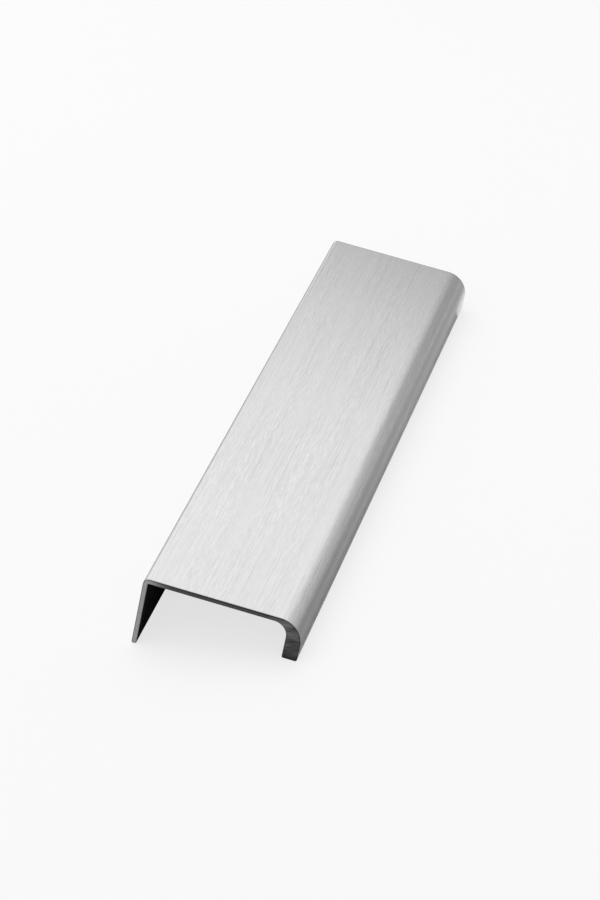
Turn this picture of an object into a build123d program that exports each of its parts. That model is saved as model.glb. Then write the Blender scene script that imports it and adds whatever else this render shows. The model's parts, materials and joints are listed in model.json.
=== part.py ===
from build123d import *
import math
import os

# An edge pull: one length of extruded aluminium, sawn off at both ends.
# A flat web lies on the top edge of a drawer front or door. A long thin leg goes down its back and
# takes two screws. At the front the web thickens through a bend into a short lip, and the fingers
# reach behind that lip.
# The section is drawn upright in the XZ plane: the outer face of the leg is on x = 0, the top of the
# web is on z = 0, and everything hangs down from there. The length runs along Y.
# The finished pull lies on its two feet, as it does on a level floor, with the origin under its middle.

# Driving sizes in millimetres
pull_length = 200.0
pull_width = 40.0
leg_height = 18.4
leg_thickness = 1.2
web_thickness = 1.2
lip_height = 10.5
lip_thickness = 3.8

# Radii of the section's corners
leg_corner_radius = 1.5
inside_corner_radius = 0.2
bend_outer_radius = 6.0
bend_inner_radius = 3.5
leg_foot_radius = 0.3
lip_foot_outer_radius = 0.5
lip_foot_inner_radius = 0.4

# Screw holes through the leg, and the edge left by the saw
hole_diameter = 4.2
hole_from_end = 20.0
hole_from_foot = 8.5
saw_edge_break = 0.1


def pull_section():
    """The closed outline of the profile, upright, with every corner rounded as it is extruded."""
    lip_inner_x = pull_width - lip_thickness
    corners = [
        (0, -leg_height, leg_foot_radius),
        (0, 0, leg_corner_radius),
        (pull_width, 0, bend_outer_radius),
        (pull_width, -lip_height, lip_foot_outer_radius),
        (lip_inner_x, -lip_height, lip_foot_inner_radius),
        (lip_inner_x, -web_thickness, bend_inner_radius),
        (leg_thickness, -web_thickness, inside_corner_radius),
        (leg_thickness, -leg_height, leg_foot_radius),
    ]
    points = [(x, z) for x, z, radius in corners]
    radii = [radius for x, z, radius in corners]
    outline = FilletPolyline(*points, radius=radii, close=True)
    return Plane.XZ * make_face(outline)


def sawn_length(section):
    """The section at full length, centred on y = 0, with the edges of both sawn ends broken."""
    bar = extrude(section, amount=pull_length / 2, both=True)
    ends = bar.faces().filter_by(Axis.Y)
    return chamfer(ends.edges(), saw_edge_break)


def screw_holes():
    """The two drills that pass through the leg, square to it."""
    drill_length = 3 * leg_thickness
    drill = Rot(0, 90, 0) * Cylinder(hole_diameter / 2, drill_length)
    hole_y = pull_length / 2 - hole_from_end
    hole_z = hole_from_foot - leg_height
    places = [Pos(leg_thickness / 2, side * hole_y, hole_z) for side in (-1, 1)]
    return [place * drill for place in places]


def resting_tilt():
    """The turn about Y, in degrees, that brings the rounded feet of leg and lip to one level."""
    feet_apart = pull_width - lip_foot_outer_radius - (leg_thickness - leg_foot_radius)
    leg_longer_by = (leg_height - leg_foot_radius) - (lip_height - lip_foot_outer_radius)
    slope = math.atan2(leg_longer_by, feet_apart)
    rounding = math.asin((leg_foot_radius - lip_foot_outer_radius) / math.hypot(feet_apart, leg_longer_by))
    return math.degrees(slope + rounding)


def laid_on_its_feet(pull):
    """The pull turned on to both feet, with the origin at the middle of the floor under it."""
    tilted = Rot(0, resting_tilt(), 0) * pull
    box = tilted.bounding_box()
    return Pos(-box.center().X, -box.center().Y, -box.min.Z) * tilted


edge_pull = laid_on_its_feet(sawn_length(pull_section()) - screw_holes())

os.makedirs("parts", exist_ok=True)
export_step(edge_pull, "parts/edge_pull.step")
print(f"edge_pull: {edge_pull.volume:.1f} mm3, tilt {resting_tilt():.3f} degrees")
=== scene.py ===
"""Dresses an edge pull: one length of extruded aluminium, brushed outside and sawn off at both ends.

The frame holds the pull as a solid that lies on its two feet. Here it is shaped once more from the same
sizes, with fine bends and broken edges, and gets three finishes: brushed outside, plain inside, and raw where
it was sawn and drilled. Lengths are in metres. The section is shaped upright first: the outer face of the leg
is on x = 0, the top of the web is on z = 0, and the length runs along Y. Then the pull is laid on its feet.
"""

import contextlib
import json
import logging
import math
from collections.abc import Callable, Iterator
from dataclasses import dataclass, field
from enum import Enum

import bmesh
import bpy
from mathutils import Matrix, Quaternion, Vector

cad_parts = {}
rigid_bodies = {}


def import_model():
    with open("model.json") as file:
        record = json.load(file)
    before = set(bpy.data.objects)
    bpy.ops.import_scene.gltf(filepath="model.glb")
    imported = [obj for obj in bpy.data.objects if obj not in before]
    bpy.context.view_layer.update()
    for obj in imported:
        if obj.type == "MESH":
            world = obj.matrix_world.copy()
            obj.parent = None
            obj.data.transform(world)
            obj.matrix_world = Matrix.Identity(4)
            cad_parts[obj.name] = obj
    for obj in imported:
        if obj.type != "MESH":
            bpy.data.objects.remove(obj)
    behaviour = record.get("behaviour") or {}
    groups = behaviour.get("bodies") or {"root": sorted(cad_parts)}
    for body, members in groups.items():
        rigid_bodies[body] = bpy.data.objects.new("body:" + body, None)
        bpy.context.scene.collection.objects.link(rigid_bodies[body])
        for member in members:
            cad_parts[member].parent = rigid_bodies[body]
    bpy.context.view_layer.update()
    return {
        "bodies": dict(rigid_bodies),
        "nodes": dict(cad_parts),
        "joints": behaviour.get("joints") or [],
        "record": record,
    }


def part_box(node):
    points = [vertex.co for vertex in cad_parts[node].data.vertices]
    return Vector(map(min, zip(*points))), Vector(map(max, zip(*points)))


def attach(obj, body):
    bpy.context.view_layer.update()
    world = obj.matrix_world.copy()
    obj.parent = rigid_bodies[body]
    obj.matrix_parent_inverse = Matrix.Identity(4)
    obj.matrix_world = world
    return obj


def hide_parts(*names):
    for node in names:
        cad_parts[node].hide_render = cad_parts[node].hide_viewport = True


MM = 0.001
NODE = "edge_pull"
RIM_NOTE = "rim"

# The value that noise swings about
NOISE_MIDDLE = 0.5

# Places closer than this are one place
NEAR = 0.01 * MM

# Faces that meet at less than this lie in one plane
FLAT = math.radians(0.1)

# How much of its normal a face has along an axis, when it is square to the axis or leans towards it
SQUARE = 0.999
LEANING = 0.5

# Where the card of painted shadow under the lip begins: the foot of the lip mirrors a little of the floor
# before it
CARD_EDGE = 20.04 * MM

Element = bmesh.types.BMFace | bmesh.types.BMEdge
Outline = tuple[tuple[float, float], ...]
log = logging.getLogger("edge_pull")


class Pick(Enum):
    """What a pick in edit mode selects."""

    EDGES = "EDGE"
    FACES = "FACE"


class Surface(Enum):
    """The kinds of surface on the pull, by material slot."""

    OUTSIDE = 0
    INSIDE = 1
    SAWN = 2


class Clearance(Enum):
    """How clear of the rims of a cut a point is, as it is noted for the finish of the cut."""

    OUTER_RIM = 0.0
    INNER_RIM = 0.5
    CLEAR = 1.0


class Signal:
    """A shader socket that gives a number, for use in Python arithmetic."""

    def __init__(self, sheet: "NodeSheet", socket: bpy.types.NodeSocket) -> None:
        """Wraps an output socket of a node on the sheet."""
        self.sheet = sheet
        self.socket = socket

    def _math(self, operation: str, first: "Signal | float", second: "Signal | float") -> "Signal":
        """Adds a Math node on two values.

        Args:
            operation: the Math node's operation.
            first: the upper value.
            second: the lower value.

        Returns:
            The node's result.
        """
        return self.sheet.node("ShaderNodeMath", {"operation": operation}, {0: first, 1: second})

    def __add__(self, other: "Signal | float") -> "Signal":
        """This plus other."""
        return self._math("ADD", self, other)

    def __radd__(self, other: float) -> "Signal":
        """A number plus this."""
        return self._math("ADD", other, self)

    def __sub__(self, other: "Signal | float") -> "Signal":
        """This minus other."""
        return self._math("SUBTRACT", self, other)

    def __rsub__(self, other: float) -> "Signal":
        """A number minus this."""
        return self._math("SUBTRACT", other, self)

    def __mul__(self, other: "Signal | float") -> "Signal":
        """This times other."""
        return self._math("MULTIPLY", self, other)

    def __rmul__(self, other: float) -> "Signal":
        """A number times this."""
        return self._math("MULTIPLY", other, self)

    def __truediv__(self, other: "Signal | float") -> "Signal":
        """This over other."""
        return self._math("DIVIDE", self, other)

    def __rtruediv__(self, other: float) -> "Signal":
        """A number over this."""
        return self._math("DIVIDE", other, self)

    def size(self) -> "Signal":
        """This without its sign."""
        return self._math("ABSOLUTE", self, 0.0)

    def sign(self) -> "Signal":
        """Minus one where this is below zero, and one where it is above."""
        return self._math("SIGN", self, 0.0)

    def floor(self) -> "Signal":
        """The whole number at or below this."""
        return self._math("FLOOR", self, 0.0)

    def either(self, other: "Signal") -> "Signal":
        """The larger of this and other."""
        return self._math("MAXIMUM", self, other)

    def swing(self) -> "Signal":
        """How far this noise is from its middle."""
        return self - NOISE_MIDDLE

    def between(self, start: float, end: float) -> "Signal":
        """A number that is start where this is 0, and end where this is 1."""
        return start + (end - start) * self

    def ramp(self, start: float, end: float) -> "Signal":
        """A smooth climb from 0 where this is start to 1 where it is end.

        Args:
            start: the value at the foot of the climb.
            end: the value at its top, which may be lower than start.

        Returns:
            The climb, held between 0 and 1.
        """
        low, high = min(start, end), max(start, end)
        climb = self.sheet.node(
            "ShaderNodeMapRange",
            {"interpolation_type": "SMOOTHSTEP"},
            {"Value": self, "From Min": low, "From Max": high},
        )
        return climb if start < end else 1.0 - climb


@dataclass(frozen=True)
class Grain:
    """A noise that is drawn out one way.

    Its width and length are those of one streak, and its detail is how many finer layers are mixed in.
    """

    width: float
    length: float
    detail: float = 1.0


@dataclass(frozen=True)
class Strands:
    """Straight strands of uneven width, each with its own noise along it.

    The width is a strand's mean width, and the length is that of the marks in it. Another noise moves the
    edges of the strands aside: by edge_reach widths at most, and with a grain of 1 / edge_pace widths. Two
    neighbours read their noise step_across and step_along apart, so that they look unrelated.
    """

    width: float
    length: float
    edge_pace: float = 0.3
    edge_reach: float = 1.2
    step_across: float = 5.31
    step_along: float = 3.17


@dataclass(frozen=True)
class Fade:
    """A painted shade that lifts along an axis: its brightness at the start, and where it starts and ends."""

    shade: float
    start: float
    end: float

    def lifted(self, place: Signal) -> Signal:
        """How far the shade has lifted at a place, from 0 to 1."""
        return place.ramp(self.start, self.end)


@dataclass(frozen=True)
class Lie:
    """How the pull lies: the turn about Y and the shift that bring the upright section on to its feet."""

    tilt: float
    offset: Vector


class NodeSheet:
    """The nodes of one material, made by plain calls."""

    def __init__(self, name: str) -> None:
        """Starts an empty material of that name."""
        self.material = bpy.data.materials.new(name)
        self.material.use_nodes = True
        self.tree = self.material.node_tree
        self.tree.nodes.clear()

    def node(
        self,
        kind: str,
        settings: dict[str, object] | None = None,
        inputs: dict[str | int, object] | None = None,
        output: str | int = 0,
    ) -> Signal:
        """Adds any node.

        Args:
            kind: the node's type name.
            settings: its properties, which are set before its sockets.
            inputs: a value or a Signal for each named or numbered input socket.
            output: which output socket to give back.

        Returns:
            That output.
        """
        made = self.tree.nodes.new(kind)
        for name, value in (settings or {}).items():
            setattr(made, name, value)
        for key, value in (inputs or {}).items():
            if isinstance(value, Signal):
                self.tree.links.new(value.socket, made.inputs[key])
            else:
                made.inputs[key].default_value = value
        return Signal(self, made.outputs[output])

    def place(self) -> Signal:
        """The point on the surface, in the frame's metres."""
        return self.node("ShaderNodeTexCoord", output="Object")

    def upright_place(self, lie: Lie) -> Signal:
        """The point on the surface, in the upright section's metres."""
        turn = {"Location": lie.offset, "Rotation": (0.0, lie.tilt, 0.0)}
        return self.node("ShaderNodeMapping", {"vector_type": "TEXTURE"}, {"Vector": self.place(), **turn})

    def noted(self, attribute: str) -> Signal:
        """A number that is noted on the points of the mesh."""
        return self.node("ShaderNodeAttribute", {"attribute_name": attribute}, output="Fac")

    def axes(self, point: Signal) -> tuple[Signal, Signal, Signal]:
        """The three numbers of a point or vector.

        Args:
            point: a vector.

        Returns:
            Its x, y and z.
        """
        made = self.node("ShaderNodeSeparateXYZ", inputs={0: point})
        return tuple(Signal(self, socket) for socket in made.socket.node.outputs)

    def vector(self, x: Signal | float, y: Signal | float, z: Signal | float) -> Signal:
        """A vector made of three numbers."""
        return self.node("ShaderNodeCombineXYZ", inputs={0: x, 1: y, 2: z})

    def noise(self, point: Signal, detail: float) -> Signal:
        """Noise with a grain of one unit.

        Args:
            point: where the noise is read.
            detail: how many finer layers are mixed in.

        Returns:
            A number around NOISE_MIDDLE.
        """
        return self.node("ShaderNodeTexNoise", inputs={"Vector": point, "Scale": 1.0, "Detail": detail})

    def grain(self, point: Signal, grain: Grain) -> Signal:
        """Noise that is drawn out along the second axis of the point.

        Args:
            point: where the noise is read.
            grain: the size of the noise.

        Returns:
            A number around NOISE_MIDDLE.
        """
        scale = (1 / grain.width, 1 / grain.length, 1 / grain.width)
        stretched = self.node("ShaderNodeMapping", inputs={"Vector": point, "Scale": scale})
        return self.noise(stretched, grain.detail)

    def strands(self, across: Signal, along: Signal, strands: Strands) -> Signal:
        """Noise in straight strands.

        Args:
            across: the distance across the strands.
            along: the distance along them.
            strands: the size of the strands.

        Returns:
            A number around NOISE_MIDDLE.
        """
        lanes = across / strands.width
        aside = self.noise(self.vector(lanes * strands.edge_pace, 0.0, 0.0), detail=2.0)
        lane = (lanes + strands.edge_reach * aside).floor()
        shifted = along / strands.length + lane * strands.step_along
        return self.noise(self.vector(lane * strands.step_across, shifted, 0.0), detail=1.0)

    def grey(self, value: Signal) -> Signal:
        """A neutral colour of that brightness."""
        return self.node("ShaderNodeCombineColor", inputs={0: value, 1: value, 2: value})

    def bump(self, height: Signal, depth: float) -> Signal:
        """The normal of a surface with fine relief.

        Args:
            height: the relief, where 1 is the full depth.
            depth: the depth of the relief in metres.

        Returns:
            The bent normal.
        """
        return self.node("ShaderNodeBump", inputs={"Strength": 1.0, "Distance": depth, "Height": height})

    def finish(self, **sockets: object) -> bpy.types.Material:
        """Ends the material in one Principled shader.

        Args:
            sockets: values or Signals for the shader's inputs, named with underscores for their spaces.

        Returns:
            The material.
        """
        inputs = {name.replace("_", " "): value for name, value in sockets.items()}
        return self.close(self.node("ShaderNodeBsdfPrincipled", inputs=inputs))

    def close(self, shader: Signal) -> bpy.types.Material:
        """Ends the material in any shader."""
        end = self.tree.nodes.new("ShaderNodeOutputMaterial")
        self.tree.links.new(shader.socket, end.inputs["Surface"])
        return self.material


@dataclass(frozen=True)
class BrushedOutside:
    """The fine brushing along the web, the bend, the lip and the back of the leg.

    Short hairs and long streaks are strong in some patches and faint in others, over wide pale and dark
    bands. There are a few dark scratches, and a painted shade darkens the metal in a narrow line along the
    sawn ends.
    """

    base: float = 0.62
    base_swing: float = 0.31
    roughness: float = 0.225
    roughness_swing: float = 0.09
    hair: Strands = Strands(width=0.08 * MM, length=4.5 * MM)
    hair_share: float = 0.80
    streak: Strands = Strands(width=0.13 * MM, length=70 * MM)
    streak_share: float = 0.30
    band: Grain = Grain(width=2.6 * MM, length=180 * MM, detail=0.0)
    band_share: float = 0.10
    patch: Grain = Grain(width=7 * MM, length=90 * MM, detail=0.0)
    patch_swing: float = 2.0
    scratch: Grain = Grain(width=0.2 * MM, length=60 * MM)
    scratch_from: float = 0.40
    scratch_to: float = 0.26
    scratch_shade: float = 0.2
    relief: Grain = Grain(width=0.08 * MM, length=4.5 * MM, detail=2.0)
    relief_depth: float = 0.011 * MM
    # Painted shade in a narrow line along the sawn ends
    painted_end_shade: float = 0.45
    end_width: float = 0.5 * MM

    def material(self, lie: Lie, end: float, middle: float) -> bpy.types.Material:
        """Builds the finish.

        Args:
            lie: how the pull lies.
            end: how far the sawn ends are from the middle.
            middle: where the middle of the web is, across the section.

        Returns:
            The material.
        """
        sheet = NodeSheet("brushed_outside")
        point = sheet.upright_place(lie)
        x, y, z = sheet.axes(point)
        # The way round the section: across the web, and on down the lip or back down the leg
        around = x - z * (x - middle).sign()
        hair = self.hair_share * sheet.strands(around, y, self.hair).swing()
        streak = self.streak_share * sheet.strands(around, y, self.streak).swing()
        band = self.band_share * sheet.grain(point, self.band).swing()
        patch = 1 + self.patch_swing * sheet.grain(point, self.patch).swing()
        brushing = patch * (hair + streak) + band
        scratch = sheet.grain(point, self.scratch).ramp(self.scratch_from, self.scratch_to)
        # A painted shade in a narrow line along each sawn end
        clear = y.size().ramp(end, end - self.end_width)
        shade = clear.between(self.painted_end_shade, 1) * (1 - self.scratch_shade * scratch)
        return sheet.finish(
            Base_Color=sheet.grey(shade * (self.base + self.base_swing * brushing)),
            Metallic=1.0,
            Roughness=self.roughness - self.roughness_swing * brushing,
            Normal=sheet.bump(sheet.grain(point, self.relief), self.relief_depth),
        )


@dataclass(frozen=True)
class PlainInside:
    """The inside of the channel as it comes from the die: unbrushed and duller, with long die lines."""

    base: float = 0.45
    base_swing: float = 0.30
    roughness: float = 0.32
    line: Grain = Grain(width=0.35 * MM, length=120 * MM)
    line_depth: float = 0.008 * MM

    def material(self, lie: Lie) -> bpy.types.Material:
        """Builds the finish."""
        sheet = NodeSheet("plain_inside")
        lines = sheet.grain(sheet.upright_place(lie), self.line)
        return sheet.finish(
            Base_Color=sheet.grey(self.base + self.base_swing * lines.swing()),
            Metallic=1.0,
            Roughness=self.roughness,
            Normal=sheet.bump(lines, self.line_depth),
        )


@dataclass(frozen=True)
class SawnEnd:
    """The raw cut of the saw, with the arcs of its blade.

    A painted highlight brightens the cut in the leg, and the rest of the cut is dull. Its rims are dark.
    Painted shades that spare the leg lie under the top of the web, over the web as far as the bend, up from
    the lip's foot, and up the whole lip. The arcs are coarse in the bend and the lip, and faint in the leg
    and the web.
    """

    dull_base: float = 0.115
    # A painted highlight on the cut in the leg, which fades out across the web
    highlight_base: float = 0.34
    highlight_from: float = 7.5 * MM
    highlight_to: float = 0.6 * MM
    rim_shade: float = 0.3
    # Painted shades on the cut: under the top of the web, over the web, at the lip's foot and up the lip
    top: Fade = Fade(shade=0.15, start=-0.15 * MM, end=-0.5 * MM)
    web: Fade = Fade(shade=0.50, start=30 * MM, end=34.5 * MM)
    lip_foot: Fade = Fade(shade=0.04, start=0.0, end=2.2 * MM)
    lip: Fade = Fade(shade=0.45, start=0.0, end=9.0 * MM)
    metallic: float = 0.5
    roughness: float = 0.5
    blade_radius: float = 150 * MM
    tooth: Grain = Grain(width=0.5 * MM, length=3 * MM, detail=2.0)
    tooth_share: float = 0.6
    stroke: Grain = Grain(width=1.7 * MM, length=7 * MM, detail=0.0)
    stroke_share: float = 0.4
    faint_swing: float = 0.5
    coarse_swing: float = 3.6
    mark_depth: float = 0.010 * MM

    def material(self, lie: Lie, lip_height: float) -> bpy.types.Material:
        """Builds the finish.

        Args:
            lie: how the pull lies.
            lip_height: how far the lip's foot is under the top of the web.

        Returns:
            The material.
        """
        sheet = NodeSheet("sawn_end")
        x, _, z = sheet.axes(sheet.upright_place(lie))
        on_arc = sheet.vector(z - (x * x) / (2 * self.blade_radius), x, 0.0)
        teeth = self.tooth_share * sheet.grain(on_arc, self.tooth)
        marks = teeth + self.stroke_share * sheet.grain(on_arc, self.stroke)
        # The painted highlight in the leg's part of the cut
        leg_highlight = x.ramp(self.highlight_from, self.highlight_to)
        above_foot = z + lip_height
        # The rims are dark, and painted shades darken the cut where the leg's painted highlight does not lift
        # them
        shade = sheet.noted(RIM_NOTE).between(self.rim_shade, 1)
        fades = ((self.lip_foot, above_foot), (self.lip, above_foot), (self.web, x), (self.top, z))
        for fade, place in fades:
            shade = shade * leg_highlight.either(fade.lifted(place)).between(fade.shade, 1)
        base = leg_highlight.between(self.dull_base, self.highlight_base) * shade
        mark_swing = self.web.lifted(x).between(self.faint_swing, self.coarse_swing)
        return sheet.finish(
            Base_Color=sheet.grey(base * (1 + mark_swing * marks.swing())),
            Metallic=self.metallic,
            Roughness=self.roughness,
            Normal=sheet.bump(marks, self.mark_depth),
        )


@dataclass(frozen=True)
class PaperFloor:
    """The matt white paper that the pull lies on, which shows whiter than it lights, with a paler shadow."""

    base: float = 0.93
    lift: float = 0.72

    def material(self) -> bpy.types.Material:
        """Builds the finish."""
        sheet = NodeSheet("paper_floor")
        seen, mirrored, through = (
            sheet.node("ShaderNodeLightPath", output=f"Is {way} Ray")
            for way in ("Camera", "Glossy", "Transmission")
        )
        colour = (self.base, self.base, self.base, 1.0)
        paper = sheet.node("ShaderNodeBsdfDiffuse", inputs={"Color": colour})
        white = sheet.node("ShaderNodeEmission", inputs={"Strength": 1.0})
        share = self.lift * seen.either(mirrored).either(through)
        return sheet.close(sheet.node("ShaderNodeMixShader", inputs={0: share, 1: paper, 2: white}))


@dataclass(frozen=True)
class Corner:
    """A corner of the section, the radius of its round, and how many faces the round takes."""

    x: float
    z: float
    radius: float
    segments: int


class Workpiece:
    """A mesh in hand, shaped by operators on edges and faces that are picked by their place."""

    def __init__(self, name: str, size: Vector, centre: Vector) -> None:
        """Adds the block that the piece is shaped from."""
        bpy.ops.object.select_all(action="DESELECT")
        bpy.ops.mesh.primitive_cube_add(size=1.0, location=centre, scale=size)
        self.object = bpy.context.object
        self.object.name = name
        self.object.data.name = name
        self.apply_transform()

    @contextlib.contextmanager
    def edit_mode(self) -> Iterator[None]:
        """Holds the piece in edit mode for the lines inside."""
        bpy.ops.object.mode_set(mode="EDIT")
        yield
        bpy.ops.object.mode_set(mode="OBJECT")

    def activate(self) -> None:
        """Makes the piece the only selected object, and the active one."""
        bpy.ops.object.select_all(action="DESELECT")
        self.object.select_set(True)
        bpy.context.view_layer.objects.active = self.object

    def apply_transform(self) -> None:
        """Puts the object's place and turn into its mesh."""
        self.activate()
        bpy.ops.object.transform_apply(location=True, rotation=True, scale=True)

    def apply_modifier(self, kind: str, **settings: object) -> None:
        """Adds a modifier and applies it.

        Args:
            kind: the modifier's type.
            settings: values for its properties.
        """
        self.activate()
        bpy.ops.object.modifier_add(type=kind)
        modifier = self.object.modifiers[-1]
        for name, value in settings.items():
            setattr(modifier, name, value)
        bpy.ops.object.modifier_apply(modifier=modifier.name)

    def pick(self, kind: Pick, wanted: Callable[[Element], bool]) -> None:
        """Selects the edges or faces that pass a test, and nothing else.

        Args:
            kind: edges or faces.
            wanted: the test.
        """
        bpy.ops.mesh.select_all(action="DESELECT")
        bpy.ops.mesh.select_mode(type=kind.value)
        mesh = bmesh.from_edit_mesh(self.object.data)
        elements = mesh.faces if kind is Pick.FACES else mesh.edges
        for element in [e for e in elements if wanted(e)]:
            element.select_set(True)
        bmesh.update_edit_mesh(self.object.data)

    def cut_across(self, x: float) -> None:
        """Divides every face along the plane at x."""
        bpy.ops.mesh.select_all(action="SELECT")
        bpy.ops.mesh.bisect(plane_co=(x, 0, 0), plane_no=(1, 0, 0))

    def draw_down(self, inside: Callable[[float], bool], depth: float) -> None:
        """Extrudes downwards the underside faces whose middle lies in a stretch of x.

        Args:
            inside: tells whether an x lies in the stretch.
            depth: how far down, in metres.
        """

        def is_underside(face: bmesh.types.BMFace) -> bool:
            """Whether a face looks down and lies in the stretch."""
            return face.normal.z < -SQUARE and inside(face.calc_center_median().x)

        self.pick(Pick.FACES, is_underside)
        bpy.ops.mesh.extrude_region_move(TRANSFORM_OT_translate={"value": (0, 0, -depth)})

    def dissolve_seams(self) -> None:
        """Removes the edges between faces that lie in one plane."""

        def is_seam(edge: bmesh.types.BMEdge) -> bool:
            """Whether the two faces of an edge lie in one plane."""
            return edge.calc_face_angle(math.pi) < FLAT

        self.pick(Pick.EDGES, is_seam)
        bpy.ops.mesh.dissolve_edges()

    def round_corner(self, corner: Corner) -> None:
        """Rounds the long edge that runs along a corner of the section."""

        def on_corner(edge: bmesh.types.BMEdge) -> bool:
            """Whether both ends of an edge lie on the corner."""
            return all(abs(v.co.x - corner.x) < NEAR and abs(v.co.z - corner.z) < NEAR for v in edge.verts)

        self.pick(Pick.EDGES, on_corner)
        self.bevel(corner.radius, corner.segments)

    def bevel(self, offset: float, segments: int) -> None:
        """Bevels what is selected to a round of that offset."""
        bpy.ops.mesh.bevel(
            offset_type="OFFSET",
            offset=offset,
            segments=segments,
            profile=0.5,
            affect="EDGES",
            clamp_overlap=False,
        )

    def inset_ends(self, width: float) -> None:
        """Insets the two end faces, and leaves what is inside the new rims selected."""
        self.pick(Pick.FACES, lambda face: abs(face.normal.y) > SQUARE)
        bpy.ops.mesh.inset(thickness=width, use_even_offset=True)

    def drill(self, centre: Vector, radius: float, depth: float) -> None:
        """Bores a round hole along X.

        Args:
            centre: the middle of the hole.
            radius: its radius.
            depth: the length of the drill, which passes out of both faces.
        """
        along_x = (0, math.pi / 2, 0)
        bpy.ops.object.select_all(action="DESELECT")
        bpy.ops.mesh.primitive_cylinder_add(
            vertices=72,
            radius=radius,
            depth=depth,
            location=centre,
            rotation=along_x,
        )
        drill = bpy.context.object
        self.apply_modifier("BOOLEAN", operation="DIFFERENCE", solver="EXACT", object=drill)
        bpy.data.objects.remove(drill)

    def smooth(self, angle: float) -> None:
        """Shades bends smooth and flats flat.

        Args:
            angle: edges that turn by more than this stay sharp.
        """
        self.activate()
        bpy.ops.object.shade_smooth_by_angle(angle=angle)
        self.apply_modifier("WEIGHTED_NORMAL", mode="FACE_AREA", keep_sharp=True)


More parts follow.
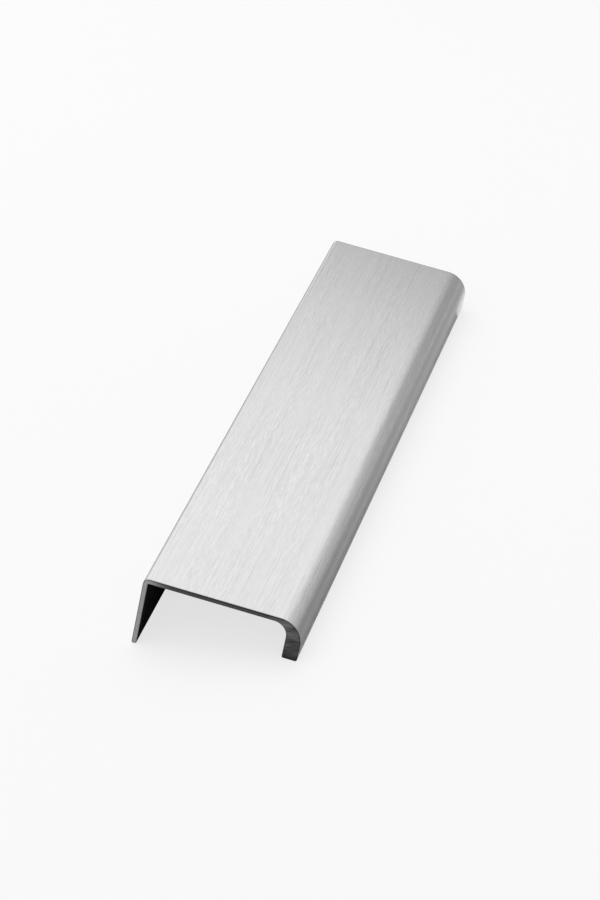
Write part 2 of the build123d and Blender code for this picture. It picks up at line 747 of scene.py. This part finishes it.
@dataclass
class EdgePull:
    """The pull: a long thin leg, a flat web, a bend and a short thick lip, all one extrusion."""

    length: float
    tilt: float
    hole_places: list[float]
    hole_radius: float
    width: float = 40.0 * MM
    leg_height: float = 18.4 * MM
    leg_thickness: float = 1.2 * MM
    web_thickness: float = 1.2 * MM
    lip_height: float = 10.5 * MM
    lip_thickness: float = 3.8 * MM
    leg_corner_radius: float = 1.5 * MM
    inside_corner_radius: float = 0.2 * MM
    bend_outer_radius: float = 6.0 * MM
    bend_inner_radius: float = 3.5 * MM
    leg_foot_radius: float = 0.3 * MM
    lip_foot_outer_radius: float = 0.5 * MM
    lip_foot_inner_radius: float = 0.4 * MM
    hole_from_foot: float = 8.5 * MM
    edge_break: float = 0.1 * MM
    rim_width: float = 0.17 * MM
    foot_brushed_up_to: float = 0.18 * MM
    smooth_angle: float = math.radians(30)
    work: Workpiece = field(init=False)

    @classmethod
    def from_frame(cls, frame: dict) -> "EdgePull":
        """Reads the pull's length, tilt and screw holes from the frame.


        Returns:
            The pull, not yet built.
        """
        low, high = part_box(NODE)
        holes = [mount for mount in frame["record"]["mounts"] if mount["kind"] == "bore"]
        axis = holes[0]["axis"]
        return cls(
            length=high.y - low.y,
            tilt=math.atan2(axis[2], -axis[0]),
            hole_places=[mount["pos_m"][1] for mount in holes],
            hole_radius=holes[0]["dims"]["r_mm"] * MM,
        )

    @property
    def lip_inner_x(self) -> float:
        """Where the inner face of the lip stands."""
        return self.width - self.lip_thickness

    @property
    def hole_z(self) -> float:
        """The height of the screw holes in the upright section."""
        return self.hole_from_foot - self.leg_height

    def build(self) -> bpy.types.Object:
        """Shapes the pull.

        Returns:
            The finished piece, at the origin, unturned and unscaled.
        """
        self.work = Workpiece(
            "edge_pull_extrusion",
            size=Vector((self.width, self.length, self.web_thickness)),
            centre=Vector((self.width / 2, 0, -self.web_thickness / 2)),
        )
        with self.work.edit_mode():
            self._draw_leg_and_lip()
            self._round_section()
        drill_length = 3 * self.leg_thickness
        for y in self.hole_places:
            centre = Vector((self.leg_thickness / 2, y, self.hole_z))
            self.work.drill(centre, self.hole_radius, drill_length)
        with self.work.edit_mode():
            self._break_cut_edges()
            self.work.inset_ends(self.rim_width)
        self._note_rims()
        self._sort_surfaces()
        self.work.smooth(self.smooth_angle)
        self._dress(self._lay_on_feet())
        return self.work.object

    def _draw_leg_and_lip(self) -> None:
        """Draws the leg and the lip down from the two sides of the web."""
        self.work.cut_across(self.leg_thickness)
        self.work.cut_across(self.lip_inner_x)
        self.work.draw_down(lambda x: x < self.leg_thickness, self.leg_height - self.web_thickness)
        self.work.draw_down(lambda x: x > self.lip_inner_x, self.lip_height - self.web_thickness)
        self.work.dissolve_seams()

    def _round_section(self) -> None:
        """Rounds each corner of the section to its own radius."""
        corners = [
            Corner(0.0, -self.leg_height, self.leg_foot_radius, segments=5),
            Corner(self.leg_thickness, -self.leg_height, self.leg_foot_radius, segments=5),
            Corner(self.leg_thickness, -self.web_thickness, self.inside_corner_radius, segments=4),
            Corner(0.0, 0.0, self.leg_corner_radius, segments=12),
            Corner(self.width, 0.0, self.bend_outer_radius, segments=28),
            Corner(self.lip_inner_x, -self.web_thickness, self.bend_inner_radius, segments=22),
            Corner(self.width, -self.lip_height, self.lip_foot_outer_radius, segments=6),
            Corner(self.lip_inner_x, -self.lip_height, self.lip_foot_inner_radius, segments=6),
        ]
        for corner in corners:
            self.work.round_corner(corner)

    def _is_cut_rim(self, edge: bmesh.types.BMEdge) -> bool:
        """Whether an edge is the rim of a sawn end."""
        end = self.length / 2
        on_end = all(abs(abs(v.co.y) - end) < NEAR for v in edge.verts)
        facing = [abs(face.normal.y) > SQUARE for face in edge.link_faces]
        return on_end and any(facing) and not all(facing)

    def _break_cut_edges(self) -> None:
        """Breaks the sharp rims that the saw leaves."""
        self.work.pick(Pick.EDGES, self._is_cut_rim)
        self.work.bevel(self.edge_break, segments=3)

    def _skin_depth(self, place: Vector) -> float:
        """How far a place in the section lies under the outer skin of leg, web, bend and lip."""
        beyond_x = max(0.0, place.x - self.width + self.bend_outer_radius)
        beyond_z = max(0.0, place.z + self.bend_outer_radius)
        round_bend = self.bend_outer_radius - math.hypot(beyond_x, beyond_z)
        return min(place.x, self.width - place.x, -place.z, round_bend)

    def _note_rims(self) -> None:
        """Notes on each point how clear of a rim it is, for the cuts.

        The inset left selected what is clear of the rims of the sawn ends. The edges of the holes count as
        rims.
        """
        mesh = self.work.object.data
        near_skin = self.leg_thickness / 3
        clear = {index for face in mesh.polygons if face.select for index in face.vertices}
        note = mesh.attributes.new(RIM_NOTE, "FLOAT", "POINT")
        for vertex in mesh.vertices:
            outer = self._skin_depth(vertex.co) < near_skin
            rim = Clearance.OUTER_RIM if outer else Clearance.INNER_RIM
            clearance = Clearance.CLEAR if vertex.index in clear else rim
            note.data[vertex.index].value = clearance.value

    def _surface_of(self, centre: Vector, normal: Vector) -> Surface:
        """Which kind of surface a face belongs to.

        Args:
            centre: the face's middle, in the upright section.
            normal: its normal.

        Returns:
            Sawn for the ends and the hole walls, inside for what faces the channel, otherwise outside.
        """
        in_hole = any(
            math.hypot(centre.y - y, centre.z - self.hole_z) < self.hole_radius for y in self.hole_places
        )
        if abs(normal.y) > LEANING or (in_hole and abs(normal.x) < LEANING):
            return Surface.SAWN
        between_skins = self.leg_thickness / 2 < centre.x < self.width - self.lip_thickness / 2
        under_web = self.foot_brushed_up_to - self.leg_height < centre.z < NEAR - self.web_thickness
        faces_channel = normal.z < -LEANING or normal.x * (self.width / 2 - centre.x) > 0
        return Surface.INSIDE if between_skins and under_web and faces_channel else Surface.OUTSIDE

    def _sort_surfaces(self) -> None:
        """Gives each face the number of its kind of surface."""
        for face in self.work.object.data.polygons:
            face.material_index = self._surface_of(face.center, face.normal).value

    def _lay_on_feet(self) -> Lie:
        """Turns the pull on to both feet, with the origin under its middle.

        Returns:
            The turn and the shift.
        """
        piece = self.work.object
        piece.rotation_euler.y = self.tilt
        self.work.apply_transform()
        across = [vertex.co.x for vertex in piece.data.vertices]
        lowest = min(vertex.co.z for vertex in piece.data.vertices)
        offset = Vector((-(min(across) + max(across)) / 2, 0, -lowest))
        piece.location = offset
        self.work.apply_transform()
        return Lie(self.tilt, offset)

    def _dress(self, lie: Lie) -> None:
        """Gives the piece its three finishes, in the order of their numbers."""
        finishes = {
            Surface.OUTSIDE: BrushedOutside().material(lie, self.length / 2, self.width / 2),
            Surface.INSIDE: PlainInside().material(lie),
            Surface.SAWN: SawnEnd().material(lie, self.lip_height),
        }
        for surface in Surface:
            self.work.object.data.materials.append(finishes[surface])


@dataclass(frozen=True)
class Softbox:
    """A flat lamp with an even face, which shows in the metal but not to the camera."""

    name: str
    centre: Vector
    width: float
    height: float
    radiance: float
    aim: Vector = field(default_factory=Vector)

    def hang(self) -> None:
        """Adds the lamp, turned to its aim."""
        data = bpy.data.lights.new(self.name, "AREA")
        data.shape = "RECTANGLE"
        data.size = self.width
        data.size_y = self.height
        data.energy = self.radiance * math.pi * self.width * self.height
        lamp = bpy.data.objects.new(self.name, data)
        lamp.location = self.centre
        lamp.rotation_mode = "QUATERNION"
        lamp.rotation_quaternion = (self.aim - self.centre).to_track_quat("-Z", "Y")
        lamp.visible_camera = False
        bpy.context.scene.collection.objects.link(lamp)


@dataclass(frozen=True)
class Panel:
    """The outline of one layer of light, in an upright plane behind the pull."""

    left: float
    right: float
    foot: float
    top: float
    share: float = 1.0


@dataclass(frozen=True)
class LayeredSoftbox:
    """An upright softbox behind the pull, in layers that add up, so that its light fades in steps."""

    name: str
    behind: float
    layer_radiance: float
    panels: tuple[Panel, ...]
    layer_gap: float = 0.01

    def hang(self) -> None:
        """Adds one lamp for each panel, a little behind the one before."""
        for number, panel in enumerate(self.panels, start=1):
            behind = self.behind + number * self.layer_gap
            centre = Vector(((panel.left + panel.right) / 2, behind, (panel.foot + panel.top) / 2))
            Softbox(
                f"{self.name}_{number}",
                centre,
                width=panel.right - panel.left,
                height=panel.top - panel.foot,
                radiance=self.layer_radiance * panel.share,
                aim=centre - Vector((0, 1, 0)),
            ).hang()


@dataclass(frozen=True)
class MirroredShadowCard:
    """A card on the floor beside or under the pull, which shows in the metal but not to the camera.

    Its grey is a painted shadow of the pull on the floor. Its shade falls by side_drop over a stretch to the
    right, and by the share end_drop of itself over a stretch towards the near end of the pull.
    """

    name: str
    outline: Outline
    shade: float
    side_drop: float = 0.0
    side_from: float = 20 * MM
    side_to: float = 36 * MM
    end_drop: float = 0.0
    end_from: float = 50 * MM
    end_to: float = -100 * MM
    height: float = 0.2 * MM

    def lay(self) -> None:
        """Adds the card, hidden from the camera, diffuse, shadow and transmission rays."""
        mesh = bpy.data.meshes.new(self.name)
        mesh.from_pydata([(x, y, self.height) for x, y in self.outline], [], [range(len(self.outline))])
        mesh.materials.append(self._material())
        card = bpy.data.objects.new(self.name, mesh)
        card.visible_camera = False
        card.visible_diffuse = False
        card.visible_shadow = False
        card.visible_transmission = False
        bpy.context.scene.collection.objects.link(card)

    def _material(self) -> bpy.types.Material:
        """The card's matt grey."""
        sheet = NodeSheet(self.name)
        across, along, _ = sheet.axes(sheet.node("ShaderNodeNewGeometry"))
        # The grey is painted shadow, which changes with its place on the floor
        side = self.shade - self.side_drop * across.ramp(self.side_from, self.side_to)
        shade = side * (1 - self.end_drop * along.ramp(self.end_from, self.end_to))
        return sheet.close(sheet.node("ShaderNodeBsdfDiffuse", inputs={"Color": sheet.grey(shade)}))


def rectangle(left: float, right: float, near: float, far: float) -> Outline:
    """The corners of a rectangle on the floor, square to the axes."""
    return ((left, near), (right, near), (right, far), (left, far))


@dataclass(frozen=True)
class Studio:
    """The pale floor, the cards on it, the lamps and the light all round.

    The right shadow card is the pull's painted shadow on the floor beside the lip. It begins under the lip,
    and its far corner is cut away, so that the far tip of the lip shows the white floor. The left shadow card
    is the painted shadow beside the leg, which gives the outer corner of the leg its dark line, and the
    channel shadow card is the painted shadow inside the channel, which blackens the inside of the leg.
    """

    floor_size: float = 8.0
    surround: float = 0.42
    # Cards of painted shadow on the floor, which only the metal mirrors
    cards: tuple[MirroredShadowCard, ...] = (
        # The pull's painted shadow on the floor to the right of the lip
        MirroredShadowCard(
            "right_shadow_card",
            outline=(
                (CARD_EDGE, -0.35),
                (0.360, -0.35),
                (0.360, 0.60),
                (0.060, 0.28),
                (0.034, 0.150),
                (0.0275, 0.119),
                (0.023, 0.0990),
                (CARD_EDGE, 0.0946),
            ),
            shade=0.70,
            side_drop=0.22,
            end_drop=0.23,
        ),
        # The painted shadow on the floor beside the leg
        MirroredShadowCard(
            "left_shadow_card",
            outline=rectangle(left=-0.400, right=-0.0215, near=-0.10, far=0.45),
            shade=0.40,
            end_drop=-0.7,
        ),
        # The painted shadow on the floor inside the channel
        MirroredShadowCard(
            "channel_shadow_card",
            outline=rectangle(left=-0.0197, right=0.0160, near=-0.10, far=0.10),
            shade=0.02,
        ),
    )
    back: LayeredSoftbox = LayeredSoftbox(
        "back_softbox",
        behind=0.5,
        layer_radiance=0.28,
        panels=(
            Panel(-0.70, 0.23, 0.270, 1.20),
            Panel(-0.70, 0.32, 0.250, 1.20),
            Panel(-0.70, 0.00, 0.210, 1.20),
            Panel(0.00, 0.60, 0.240, 1.20),
            Panel(-0.70, -0.16, 0.010, 0.300),
            Panel(-0.70, -0.20, 0.010, 0.250),
            Panel(0.265, 0.80, 0.180, 0.300),
            Panel(0.300, 0.80, 0.010, 0.220, share=0.6),
        ),
    )
    front: Softbox = Softbox("front_softbox", Vector((-0.2, -1.3, 0.9)), width=1.8, height=1.1, radiance=0.6)
    top: Softbox = Softbox("top_softbox", Vector((-0.35, 0.1, 1.3)), width=1.6, height=1.6, radiance=0.95)

    def build(self) -> None:
        """Lays the floor and the cards, hangs the lamps and sets the surround."""
        self._lay_floor()
        for card in self.cards:
            card.lay()
        for lamp in (self.back, self.front, self.top):
            lamp.hang()
        self._surround_with_light()

    def _lay_floor(self) -> None:
        """Adds the floor."""
        bpy.ops.object.select_all(action="DESELECT")
        bpy.ops.mesh.primitive_plane_add(size=self.floor_size)
        floor = bpy.context.object
        floor.name = "floor"
        floor.data.materials.append(PaperFloor().material())

    def _surround_with_light(self) -> None:
        """Sets an even grey light all round."""
        world = bpy.data.worlds.new("surround")
        world.use_nodes = True
        backdrop = world.node_tree.nodes["Background"]
        backdrop.inputs["Color"].default_value = (1, 1, 1, 1)
        backdrop.inputs["Strength"].default_value = self.surround
        bpy.context.scene.world = world


@dataclass(frozen=True)
class Viewpoint:
    """The camera, given by the point it looks at, its distance in metres and its angles in degrees."""

    aim: Vector
    distance: float
    azimuth: float
    elevation: float
    roll: float
    lens: float

    def place(self) -> None:
        """Adds the camera and makes it the scene's own."""
        turn, lift = math.radians(self.azimuth), math.radians(self.elevation)
        level_back = math.cos(lift)
        back = Vector((math.sin(turn) * level_back, -math.cos(turn) * level_back, math.sin(lift)))
        data = bpy.data.cameras.new("camera")
        data.lens = self.lens
        data.clip_start = 0.01
        data.clip_end = 50.0
        camera = bpy.data.objects.new("camera", data)
        camera.location = self.aim + back * self.distance
        camera.rotation_mode = "QUATERNION"
        level = (-back).to_track_quat("-Z", "Y")
        camera.rotation_quaternion = level @ Quaternion((0, 0, 1), math.radians(self.roll))
        bpy.context.scene.collection.objects.link(camera)
        bpy.context.scene.camera = camera


PHOTO_VIEW = Viewpoint(
    aim=Vector((-2.55, -2.86, 4.82)) * MM,
    distance=970.07 * MM,
    azimuth=13.800,
    elevation=27.472,
    roll=-0.662,
    lens=148.813,
)


def main() -> None:
    logging.basicConfig(level=logging.INFO, format="%(name)s: %(message)s")
    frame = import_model()

    pull = EdgePull.from_frame(frame)
    piece = pull.build()
    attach(piece, "root")
    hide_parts(NODE)
    tilt = math.degrees(pull.tilt)
    log.info("%s: %d faces, tilt %.2f degrees", piece.name, len(piece.data.polygons), tilt)

    Studio().build()
    PHOTO_VIEW.place()
    bpy.context.scene.view_settings.view_transform = "Standard"


if __name__ == "__main__":
    main()
